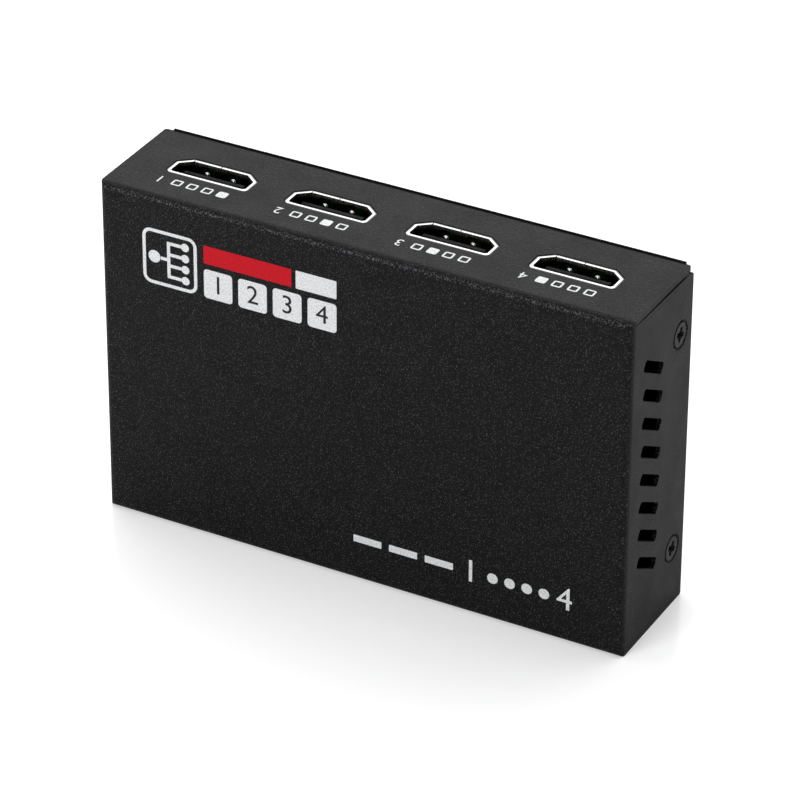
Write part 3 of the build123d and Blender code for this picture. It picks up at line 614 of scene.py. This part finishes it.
def aluminium(name, tone, roughness):
    """Satin aluminium with fine streaks along Z."""
    material, tree, shader = new_material(name)
    streaks = noise(
        tree, STREAK, detail=4.0, where=drawn_out(tree, place_of(tree), STREAK_STRETCH))
    tones = ramp(tree, streaks, [tone * STREAK_DARKNESS] * 3, [tone] * 3)
    tree.links.new(tones, shader.inputs["Base Color"])
    gloss = remap(tree, streaks, (roughness, roughness + ROUGHNESS_SPAN))
    tree.links.new(gloss, shader.inputs["Roughness"])
    shader.inputs["Metallic"].default_value = 1.0
    bump(tree, shader, streaks, SMOOTH)
    finishes[name] = material


aluminium("sink_aluminium", tone=0.62, roughness=0.35)
aluminium("can_aluminium", tone=0.7, roughness=0.25)
print("streaks in mm", in_mm([STREAK, STREAK / STREAK_STRETCH]))

# %% [markdown]
# A circuit board is glass fibre under a green lacquer. Copper tracks below the lacquer show
# as paler lines. They run in straight stretches, which a brick texture gives at once.

# %% Circuit board lacquer
TRACK_PITCH = 2.4 * MM
TRACK_WIDTH = 0.05
TRACK_ROW = 0.4
TRACK_SHIFT = 0.37
WEAVE = 0.4 * MM
WEAVE_HEIGHT = 0.2
TRACK_DEPTH = 0.02 * MM


def board_lacquer(name):
    """Green lacquer over faint copper tracks."""
    material, tree, shader = new_material(name)
    turned = node(
        tree, "ShaderNodeMapping",
        Vector=place_of(tree), Rotation=(math.radians(90), 0, 0),
    ).outputs["Vector"]
    tracks = node(
        tree, "ShaderNodeTexBrick", {"offset": TRACK_SHIFT}, Vector=turned,
        Scale=1 / TRACK_PITCH, **{"Mortar Size": TRACK_WIDTH, "Row Height": TRACK_ROW},
    ).outputs["Fac"]
    weave = noise(tree, WEAVE)
    colour = ramp(tree, tracks, (0.008, 0.075, 0.03), (0.02, 0.16, 0.06), WHOLE)
    tree.links.new(colour, shader.inputs["Base Color"])
    tree.links.new(remap(tree, weave, (0.25, 0.4)), shader.inputs["Roughness"])
    height = maths(tree, "ADD", tracks, maths(tree, "MULTIPLY", weave, WEAVE_HEIGHT))
    bump(tree, shader, height, TRACK_DEPTH)
    finishes[name] = material


board_lacquer("board_green")
print("tracks in mm", in_mm([TRACK_PITCH * TRACK_WIDTH]), "every", in_mm([TRACK_PITCH * TRACK_ROW]))

# %% [markdown]
# The status lights are cast in clear resin with a milky tint, so that they glow evenly. The
# resin lets light through, and its surface is slightly uneven from the mould.

# %% Clear resin
MOULD_RIPPLE = 0.8 * MM


def clear_resin(name):
    """Slightly milky resin that lets light through."""
    material, tree, shader = new_material(name)
    ripple = noise(tree, MOULD_RIPPLE)
    milk = ramp(tree, ripple, (0.72, 0.78, 0.8), (0.86, 0.9, 0.9))
    tree.links.new(milk, shader.inputs["Base Color"])
    tree.links.new(remap(tree, ripple, (0.12, 0.25)), shader.inputs["Roughness"])
    shader.inputs["Transmission Weight"].default_value = 0.6
    shader.inputs["IOR"].default_value = 1.5
    bump(tree, shader, ripple, SMOOTH)
    finishes[name] = material


clear_resin("clear_lens")
print("finishes", len(finishes))

# %% [markdown]
# The frame's record names a finish slot for every measured part, and the finishes above are
# stored under the same names. Each part could be dressed by hand, but a loop can't forget
# one: a slot without a finish stops the script.

# %% Put each finish on its parts
for part in frame["record"]["subparts"]:
    shown = nodes[part["node"]]
    shown.data.materials.clear()
    shown.data.materials.append(finishes[part["material_slot"]])

# %% [markdown]
# The measured cover screws are plain cones on cylinders. The carved drive is a looks
# matter, so each screw is built again here with a true cross recess. Their places come from
# the measured part. Their heads are a little smaller than its plain ones, with a short
# upright rim, and stand inside the space that those fill.

# %% Screw proportions
HEAD_RADIUS = 2.1 * MM
HEAD_EDGE = 0.08 * MM
HEAD_RIM = 0.44 * MM
SHANK_RADIUS = 1.47 * MM
SCREW_LENGTH = 5.0 * MM
TIP_TAPER = 0.3 * MM
ARM_REACH = 1.3 * MM
ARM_HALF = 0.42 * MM
CORNER_CUT = 1.95
RECESS_DEPTH = 1.2 * MM
RECESS_SHARE = 0.45

screw_low, screw_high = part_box("cover_screws")
measured_radius = (screw_high.y - screw_low.y) / 2
print("head radius in mm", in_mm([HEAD_RADIUS]), "measured", in_mm([measured_radius]))

# %% [markdown]
# Turned shapes could be made with Blender's own cone and cylinder. Loops of vertices with a
# band of faces between each two of them do the same, and they also join one cross to
# another. The cross has four corners in each quarter turn: two at the end of an arm, and
# two where its inner corner is cut off, as on a real drive.

# %% Rings, crosses and walls
RING_STEPS = 48


def ring(mesh, radius, height):
    """A closed ring of vertices around the z axis."""
    turns = [2 * math.pi * step / RING_STEPS for step in range(RING_STEPS)]
    return [mesh.verts.new((radius * math.cos(t), radius * math.sin(t), height)) for t in turns]


def cross(mesh, scale, height):
    """The sixteen corners of a cross whose inner corners are cut off."""
    reach = ARM_REACH * scale
    half = ARM_HALF * scale
    cut = half * CORNER_CUT
    points = []
    for quarter in range(4):
        turn = Matrix.Rotation(math.pi / 2 * quarter, 2)
        for corner in ((reach, -half), (reach, half), (cut, half), (half, cut)):
            points.append(turn @ Vector(corner))
    return [mesh.verts.new((x, y, height)) for x, y in points]


def wall(mesh, upper, lower):
    """A band of faces between two loops of as many vertices."""
    count = len(upper)
    for step in range(count):
        after = (step + 1) % count
        mesh.faces.new((upper[step], upper[after], lower[after], lower[step]))


def loop_edges(mesh, loop):
    """The edges round a loop of vertices, made where they are missing."""
    made = []
    for step, first in enumerate(loop):
        second = loop[(step + 1) % len(loop)]
        made.append(mesh.edges.get((first, second)) or mesh.edges.new((first, second)))
    return made


print("a ring has", RING_STEPS, "steps")

# %% [markdown]
# A screw is a stack of rings: the flat face's edge, the rim, the cone, the shank and the
# tip. The recess could be cut out with a boolean, which often leaves untidy edges. Here the
# flat face is filled between its round edge and the cross, and the cross is drawn down into
# a narrower one.

# %% One screw
def screw_mesh(mesh, matrix):
    """Adds one screw to a mesh, its head's face on the matrix's origin."""
    before = set(mesh.verts)
    face_rim = ring(mesh, HEAD_RADIUS - HEAD_EDGE, 0)
    side_rim = ring(mesh, HEAD_RADIUS, -HEAD_EDGE)
    cone_rim = ring(mesh, HEAD_RADIUS, -HEAD_RIM)
    neck = ring(mesh, SHANK_RADIUS, SHANK_RADIUS - HEAD_RADIUS - HEAD_RIM)
    tip_rim = ring(mesh, SHANK_RADIUS, TIP_TAPER - SCREW_LENGTH)
    tip = ring(mesh, SHANK_RADIUS - TIP_TAPER, -SCREW_LENGTH)
    mouth = cross(mesh, 1.0, 0)
    bottom = cross(mesh, RECESS_SHARE, -RECESS_DEPTH)
    rings = (face_rim, side_rim, cone_rim, neck, tip_rim, tip)
    for upper, lower in zip(rings, rings[1:]):
        wall(mesh, upper, lower)
    wall(mesh, mouth, bottom)
    mesh.faces.new(tip)
    mesh.faces.new(bottom)
    face_edges = loop_edges(mesh, face_rim) + loop_edges(mesh, mouth)
    bmesh.ops.triangle_fill(mesh, use_beauty=True, edges=face_edges)
    added = [v for v in mesh.verts if v not in before]
    bmesh.ops.transform(mesh, matrix=matrix, verts=added)


trial = bmesh.new()
screw_mesh(trial, Matrix.Identity(4))
print("faces of one screw", len(trial.faces))
trial.free()

# %% [markdown]
# A piece that is made here has a name and rides on one of the object's bodies. The splitter
# has no moving part, so there is only one body. The four screws could be four pieces, but
# they are joined as they are in the measured part that they replace. Each is turned by its
# own angle, as it stops when it is driven in.

# %% Build the cover screws
SHARP_FROM = math.radians(35)
DRIVE_TURNS = (18.0, 52.0, -30.0, 71.0)


def finish_piece(name, mesh, material, smooth_angle=None):
    """Turns a working mesh into a named piece that rides on the only body."""
    bmesh.ops.recalc_face_normals(mesh, faces=mesh.faces)
    data = bpy.data.meshes.new(name)
    mesh.to_mesh(data)
    mesh.free()
    data.materials.append(material)
    piece = bpy.data.objects.new(name, data)
    bpy.context.scene.collection.objects.link(piece)
    if smooth_angle:
        data.shade_smooth()
        data.set_sharp_from_angle(angle=smooth_angle)
    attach(piece, "root")
    return piece


screw_y = (screw_low.y + screw_high.y) / 2
screw_heights = (screw_low.z + measured_radius, screw_high.z - measured_radius)
mesh = bmesh.new()
turns = iter(DRIVE_TURNS)
for side, face_x in ((-1, screw_low.x), (1, screw_high.x)):
    for height in screw_heights:
        stand = Matrix.Translation((face_x, screw_y, height))
        tilt = Matrix.Rotation(side * math.pi / 2, 4, "Y")
        turn = Matrix.Rotation(math.radians(next(turns)), 4, "Z")
        screw_mesh(mesh, stand @ tilt @ turn)
screws = finish_piece(
    "carved_cover_screws", mesh, finishes["black_screws"], SHARP_FROM)
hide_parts("cover_screws")
print("screw faces", len(screws.data.polygons))

# %% [markdown]
# The print is ink laid on by screen: a thin white or red film with a slightly open grain,
# because the coat's bumps show through. It could be painted in the coat's own material,
# but separate thin pieces keep crisp edges at any distance, and each piece can be named.
# The motifs are plain: tiles, bars, a one-to-four branch and numerals.

# %% Ink
INK_THIN_SHARE = 0.74
INK_LIMITS = (0.38, 0.6)
INK_DEPTH = 0.03 * MM


def ink(name, colour):
    """Screen ink that is thinner, and so darker, over the bumps of the coat."""
    material, tree, shader = new_material(name)
    grain = noise(tree, COAT_GRAIN, detail=2.5)
    thin = [share * INK_THIN_SHARE for share in colour]
    tree.links.new(ramp(tree, grain, thin, colour, INK_LIMITS), shader.inputs["Base Color"])
    tree.links.new(remap(tree, grain, (0.45, 0.6)), shader.inputs["Roughness"])
    shader.inputs["Specular IOR Level"].default_value = 0.1
    bump(tree, shader, grain, INK_DEPTH)
    return material


white_ink = ink("white_ink", (0.82, 0.83, 0.84))
red_ink = ink("red_ink", (0.58, 0.006, 0.016))
dark_ink = ink("dark_ink", (0.02, 0.02, 0.022))
print("inks", [film.name for film in (white_ink, red_ink, dark_ink)])

# %% [markdown]
# A print is drawn flat and then laid on the case. On each printed plane x and y run across
# the print and z comes out of the surface, so the same drawing helpers serve both planes.
# The film is about a hundredth of a millimetre thick, like real ink.

# %% Printed planes
FILM = 0.012 * MM

face_print = Matrix.Translation((0, cover_low.y, 0)) @ Matrix.Rotation(math.pi / 2, 4, "X")
panel_print = Matrix.Translation((0, 0, cover_high.z)) @ Matrix.Rotation(math.pi, 4, "Z")


def print_piece(name, mesh, plane, material):
    """Lays a flat mesh on its printed plane and names it."""
    bmesh.ops.transform(mesh, matrix=plane, verts=mesh.verts)
    return finish_piece(name, mesh, material)


print("printed planes at", in_mm(face_print.translation), in_mm(panel_print.translation), "mm")

# %% [markdown]
# Flat shapes are drawn as closed outlines and given the thickness of the ink. A rounded
# tile is four quarter circles joined by straight lines, and a dot is a tile with corners
# nearly as large as itself. An outline with a hole is a strip between two such loops.

# %% Flat shapes
CORNER_STEPS = 6


def rounded_outline(centre, width, height, radius):
    """Points round a rectangle with rounded corners."""
    points = []
    for quarter, (right_side, upper_side) in enumerate(((1, 1), (-1, 1), (-1, -1), (1, -1))):
        corner_x = centre[0] + right_side * (width / 2 - radius)
        corner_y = centre[1] + upper_side * (height / 2 - radius)
        for step in range(CORNER_STEPS + 1):
            t = math.pi / 2 * (quarter + step / CORNER_STEPS)
            points.append((corner_x + radius * math.cos(t), corner_y + radius * math.sin(t)))
    return points


def tile(mesh, centre, width, height, radius):
    """A filled rounded rectangle, as thick as the film."""
    points = rounded_outline(centre, width, height, radius)
    upper = [mesh.verts.new((x, y, FILM)) for x, y in points]
    lower = [mesh.verts.new((x, y, 0)) for x, y in points]
    mesh.faces.new(upper)
    mesh.faces.new(lower[::-1])
    wall(mesh, upper, lower)


def bar(mesh, start, end, height, width, radius):
    """A tile from one x to another at a height."""
    tile(mesh, ((start + end) / 2, height), end - start, width, radius)


def frame_tile(mesh, centre, width, height, radius, line):
    """The outline of a rounded rectangle, one line wide and as thick as the film."""
    outer = rounded_outline(centre, width, height, radius)
    inner = rounded_outline(centre, width - 2 * line, height - 2 * line, radius - line)
    loops = [[mesh.verts.new((x, y, z)) for x, y in points]
             for points, z in ((outer, FILM), (inner, FILM), (inner, 0), (outer, 0))]
    for step, loop in enumerate(loops):
        wall(mesh, loop, loops[(step + 1) % len(loops)])


def row(count, step, middle):
    """Places in a row with even steps, centred on a middle."""
    return [middle + (place - (count - 1) / 2) * step for place in range(count)]


print("a rounded corner has", CORNER_STEPS, "steps, and the film in mm is", FILM / MM)

# %% [markdown]
# Numerals come from Blender's own built-in letter shapes. A text curve with a small
# thickness is turned into a mesh, so that it exports like every other piece. Points that
# coincide are merged, since the curve's sides and faces come apart otherwise.

# %% Numerals
CAP_SHARE = 0.7
CURVE_STEPS = 4


def numeral(name, digits, size, centre, plane, material, level=0.0):
    """Numerals of a cap height, centred on a point of a printed plane."""
    curve = bpy.data.curves.new(name, "FONT")
    curve.body = digits
    curve.size = size / CAP_SHARE
    curve.align_x = "CENTER"
    curve.align_y = "CENTER"
    curve.extrude = FILM / 2
    curve.resolution_u = CURVE_STEPS
    text = bpy.data.objects.new(name, curve)
    bpy.context.scene.collection.objects.link(text)
    bpy.context.view_layer.update()
    seen = text.evaluated_get(bpy.context.evaluated_depsgraph_get())
    data = bpy.data.meshes.new_from_object(seen)
    bpy.data.objects.remove(text)
    mesh = bmesh.new()
    mesh.from_mesh(data)
    bpy.data.meshes.remove(data)
    lift = Matrix.Translation((centre[0], centre[1], level + FILM / 2))
    bmesh.ops.transform(mesh, matrix=lift, verts=mesh.verts)
    bmesh.ops.remove_doubles(mesh, verts=mesh.verts, dist=FILM / 100)
    return print_piece(name, mesh, plane, material)


print("capitals fill", CAP_SHARE, "of the letter size")

# %% [markdown]
# Each output socket has its number beside it, read by someone who stands behind the case,
# so the numerals are upside down in the picture. Next to the number are four small boxes,
# and the box of that socket is filled. The labels are placed from the measured shells, so
# they stay with their sockets.

# %% Socket numbers
CAP = 2.0 * MM
NUMBER_X = 6.8 * MM
LABEL_Y = 5.35 * MM
BOX = 1.8 * MM
BOX_STEP = 2.8 * MM
BOX_ROW_X = -0.6 * MM
BOX_LINE = 0.32 * MM
BOX_CORNER = 0.35 * MM

for number, shell_middle in zip(OUTPUTS, shell_middles):
    # The plane of this print is turned by half a turn, so its x runs the other way.
    middle = -shell_middle
    spot = (middle + NUMBER_X, LABEL_Y)
    numeral(f"number_{number}", str(number), CAP, spot, panel_print, white_ink)
    mesh = bmesh.new()
    for box, x in zip(OUTPUTS, row(len(OUTPUTS), BOX_STEP, middle + BOX_ROW_X)):
        if box == number:
            tile(mesh, (x, LABEL_Y), BOX, BOX, BOX_CORNER)
        else:
            frame_tile(mesh, (x, LABEL_Y), BOX, BOX, BOX_CORNER, BOX_LINE)
    print_piece(f"boxes_{number}", mesh, panel_print, white_ink)
print("socket labels", len(OUTPUTS))

# %% [markdown]
# The printed face carries a small design in white and red near its upper left corner. Its
# first motif is a framed tile with a branch that runs from one dot to four, for what the
# box does. A flat drawing could be made with curves, but tiles and bars are enough here.

# %% Badge with a branch
BADGE_CENTRE = (-34.9 * MM, 50.9 * MM)
BADGE_SIZE = 10.2 * MM
BADGE_CORNER = 1.6 * MM
LINE = 0.6 * MM
LINE_CORNER = 0.06 * MM
SPINE_CORNER = 0.12 * MM
BRANCH_HALF = 2.9 * MM
FORK_X = -0.2 * MM
BRANCH_SPREAD = 2.05 * MM
ROOT_DOT = 2.25 * MM
ROOT_DOT_CORNER = 1.11 * MM
STEM_START = 1.2 * MM
END_DOT = 1.5 * MM
END_DOT_CORNER = 0.735 * MM

mesh = bmesh.new()
frame_tile(mesh, BADGE_CENTRE, BADGE_SIZE, BADGE_SIZE, BADGE_CORNER, LINE)
print_piece("badge_frame", mesh, face_print, white_ink)

mesh = bmesh.new()
badge_x, badge_y = BADGE_CENTRE
root_x = badge_x - BRANCH_HALF
fork_x = badge_x + FORK_X
end_x = badge_x + BRANCH_HALF
spine = (len(OUTPUTS) - 1) * BRANCH_SPREAD + LINE
tile(mesh, (root_x, badge_y), ROOT_DOT, ROOT_DOT, ROOT_DOT_CORNER)
bar(mesh, root_x + STEM_START, fork_x - LINE / 2, badge_y, LINE, LINE_CORNER)
tile(mesh, (fork_x, badge_y), LINE, spine, SPINE_CORNER)
for height in row(len(OUTPUTS), BRANCH_SPREAD, badge_y):
    bar(mesh, fork_x + LINE / 2, end_x - END_DOT / 2, height, LINE, LINE_CORNER)
    tile(mesh, (end_x, height), END_DOT, END_DOT, END_DOT_CORNER)
print_piece("badge_branch", mesh, face_print, white_ink)
print("badge in mm", in_mm([BADGE_SIZE, BADGE_SIZE]), "branch height", in_mm([spine]))

# %% [markdown]
# Beside the badge are four numbered white tiles under a red and a white bar. The numerals
# could be holes in the tiles, but a second film of dark ink on top of the white is how a
# printer does it, and it keeps every outline simple.

# %% Numbered tiles and bars
TILE = 5.3 * MM
TILE_CORNER = 0.636 * MM
TILE_STEP = 6.4 * MM
TILE_ROW = (-16.3 * MM, 48.45 * MM)
TILE_CAP = 3.286 * MM
BAR_Y = 53.75 * MM
BAR_HEIGHT = 3.3 * MM
BAR_CORNER = 0.15 * MM
BARS = {
    "red_bar": (-28.55 * MM, -12.3 * MM, red_ink),
    "white_bar": (-11.5 * MM, -4.05 * MM, white_ink),
}

for number, x in zip(OUTPUTS, row(len(OUTPUTS), TILE_STEP, TILE_ROW[0])):
    spot = (x, TILE_ROW[1])
    mesh = bmesh.new()
    tile(mesh, spot, TILE, TILE, TILE_CORNER)
    print_piece(f"tile_{number}", mesh, face_print, white_ink)
    numeral(f"tile_number_{number}", str(number), TILE_CAP, spot, face_print, dark_ink, FILM)

for name, (start, end, film) in BARS.items():
    mesh = bmesh.new()
    bar(mesh, start, end, BAR_Y, BAR_HEIGHT, BAR_CORNER)
    print_piece(name, mesh, face_print, film)
print("tiles", len(OUTPUTS), "bars", len(BARS))

# %% [markdown]
# Low on the printed face runs one more line in white: three dashes, and a one and a four
# with dots between them, for one input and four outputs. Dashes and dots are one piece,
# since they are printed in one go and never looked at apart.

# %% Line of numerals low on the printed face
RATIO_Y = 8.1 * MM
RATIO_CAP = 4.2 * MM
ONE_X = 20.6 * MM
FOUR_X = 37.6 * MM
DASH = 5.2 * MM
DASH_HEIGHT = 1.3 * MM
DASH_COUNT = 3
DASH_STEP = 6.6 * MM
DASHES_X = 8.2 * MM
RATIO_DOT = 1.9 * MM
RATIO_DOT_CORNER = 0.9 * MM
RATIO_DOT_STEP = 3.1 * MM
RATIO_DOTS_X = 29.25 * MM

numeral("ratio_one", "1", RATIO_CAP, (ONE_X, RATIO_Y), face_print, white_ink)
numeral("ratio_four", "4", RATIO_CAP, (FOUR_X, RATIO_Y), face_print, white_ink)
mesh = bmesh.new()
for x in row(DASH_COUNT, DASH_STEP, DASHES_X):
    tile(mesh, (x, RATIO_Y), DASH, DASH_HEIGHT, BAR_CORNER)
for x in row(len(OUTPUTS), RATIO_DOT_STEP, RATIO_DOTS_X):
    tile(mesh, (x, RATIO_Y), RATIO_DOT, RATIO_DOT, RATIO_DOT_CORNER)
print_piece("ratio_line", mesh, face_print, white_ink)
print("dashes", DASH_COUNT, "dots", len(OUTPUTS))

# %% [markdown]
# The floor is white and takes the object's shadow. To look as white as paper it could have
# more light, but then so would the object. Instead it adds a little glow that is seen but
# gives no soft light. The camera and rays through glass see all of it. Mirror rays see it
# only away from the object, since close by a real floor lies in the object's shadow.

# %% Floor
FLOOR_SIZE = 6.0
FLOOR_GAP = 0.02 * MM
FLOOR_GLOW = 0.28
NEAR_OBJECT = (30 * MM, 95 * MM)


def background_rays(tree):
    """One for camera and glass rays, and for mirror rays one only away from the object."""
    path = node(tree, "ShaderNodeLightPath").outputs
    distance = node(
        tree, "ShaderNodeVectorMath", {"operation": "LENGTH"}, i0=place_of(tree)
    ).outputs["Value"]
    mirrored = maths(
        tree, "MULTIPLY", path["Is Glossy Ray"], rise(tree, distance, NEAR_OBJECT))
    seen = maths(tree, "MAXIMUM", path["Is Camera Ray"], mirrored)
    return maths(tree, "MAXIMUM", seen, path["Is Transmission Ray"])


def studio_floor():
    """Pale floor: matte white with a faint gloss and a glow of its own."""
    material, tree, shader = new_material("floor_white")
    shader.inputs["Base Color"].default_value = (0.86, 0.86, 0.865, 1)
    shader.inputs["Roughness"].default_value = 0.16
    shader.inputs["Specular IOR Level"].default_value = 0.35
    strength = maths(tree, "MULTIPLY", background_rays(tree), FLOOR_GLOW)
    glow = node(tree, "ShaderNodeEmission", Strength=strength)
    both = node(tree, "ShaderNodeAddShader", i0=shader.outputs[0], i1=glow.outputs[0])
    tree.links.new(both.outputs[0], tree.nodes["Material Output"].inputs["Surface"])
    return material


mesh = bmesh.new()
bmesh.ops.create_grid(mesh, x_segments=1, y_segments=1, size=FLOOR_SIZE / 2)
floor_data = bpy.data.meshes.new("floor")
mesh.to_mesh(floor_data)
mesh.free()
floor_data.materials.append(studio_floor())
floor = bpy.data.objects.new("floor", floor_data)
floor.location.z = -FLOOR_GAP
bpy.context.scene.collection.objects.link(floor)
print("floor in metres", FLOOR_SIZE)

# %% [markdown]
# Soft light comes from all round, as in a light tent. It is far brighter from behind the
# case, from the left and from above, and nearly dark from the other side. A picture of a
# real studio could give that, but a level that follows the direction needs no file.

# %% Light tent
BRIGHT_SIDE = Vector((-0.33, 0.8, 0.5))
SKY_LEVELS = (0.06, 2.0)
SKY_LIMITS = (-0.1, 0.9)

world = bpy.data.worlds.new("studio")
bpy.context.scene.world = world
world.use_nodes = True
sky = world.node_tree.nodes["Background"]
sky.inputs["Color"].default_value = (1, 1, 1, 1)
direction = node(world.node_tree, "ShaderNodeTexCoord").outputs["Generated"]
towards = node(
    world.node_tree, "ShaderNodeVectorMath", {"operation": "DOT_PRODUCT"},
    i0=direction, i1=BRIGHT_SIDE,
).outputs["Value"]
level = remap(world.node_tree, towards, SKY_LEVELS, SKY_LIMITS)
world.node_tree.links.new(level, sky.inputs["Strength"])
print("light tent levels", SKY_LEVELS)

# %% [markdown]
# One small softbox stands close by, in front of the case, a little to its left and above
# it. It lights the printed face and the floor before it, and grows weaker with distance, as
# a real lamp does. A sun lamp would light all of the face alike.

# %% Softbox
SOFTBOX_SIZE = 0.25
SOFTBOX_POWER = 1.55
SOFTBOX_PLACE = Vector((-0.12, -0.44, 0.3))

softbox_data = bpy.data.lights.new("softbox", "AREA")
softbox_data.shape = "SQUARE"
softbox_data.size = SOFTBOX_SIZE
softbox_data.energy = SOFTBOX_POWER
softbox = bpy.data.objects.new("softbox", softbox_data)
softbox.location = SOFTBOX_PLACE
softbox.rotation_euler = (-SOFTBOX_PLACE).to_track_quat("-Z", "Y").to_euler()
bpy.context.scene.collection.objects.link(softbox)
print("softbox at", in_mm(SOFTBOX_PLACE), "mm")

# %% [markdown]
# The Standard view shows a colour as it is written.

# %% View transform
bpy.context.scene.view_settings.view_transform = "Standard"
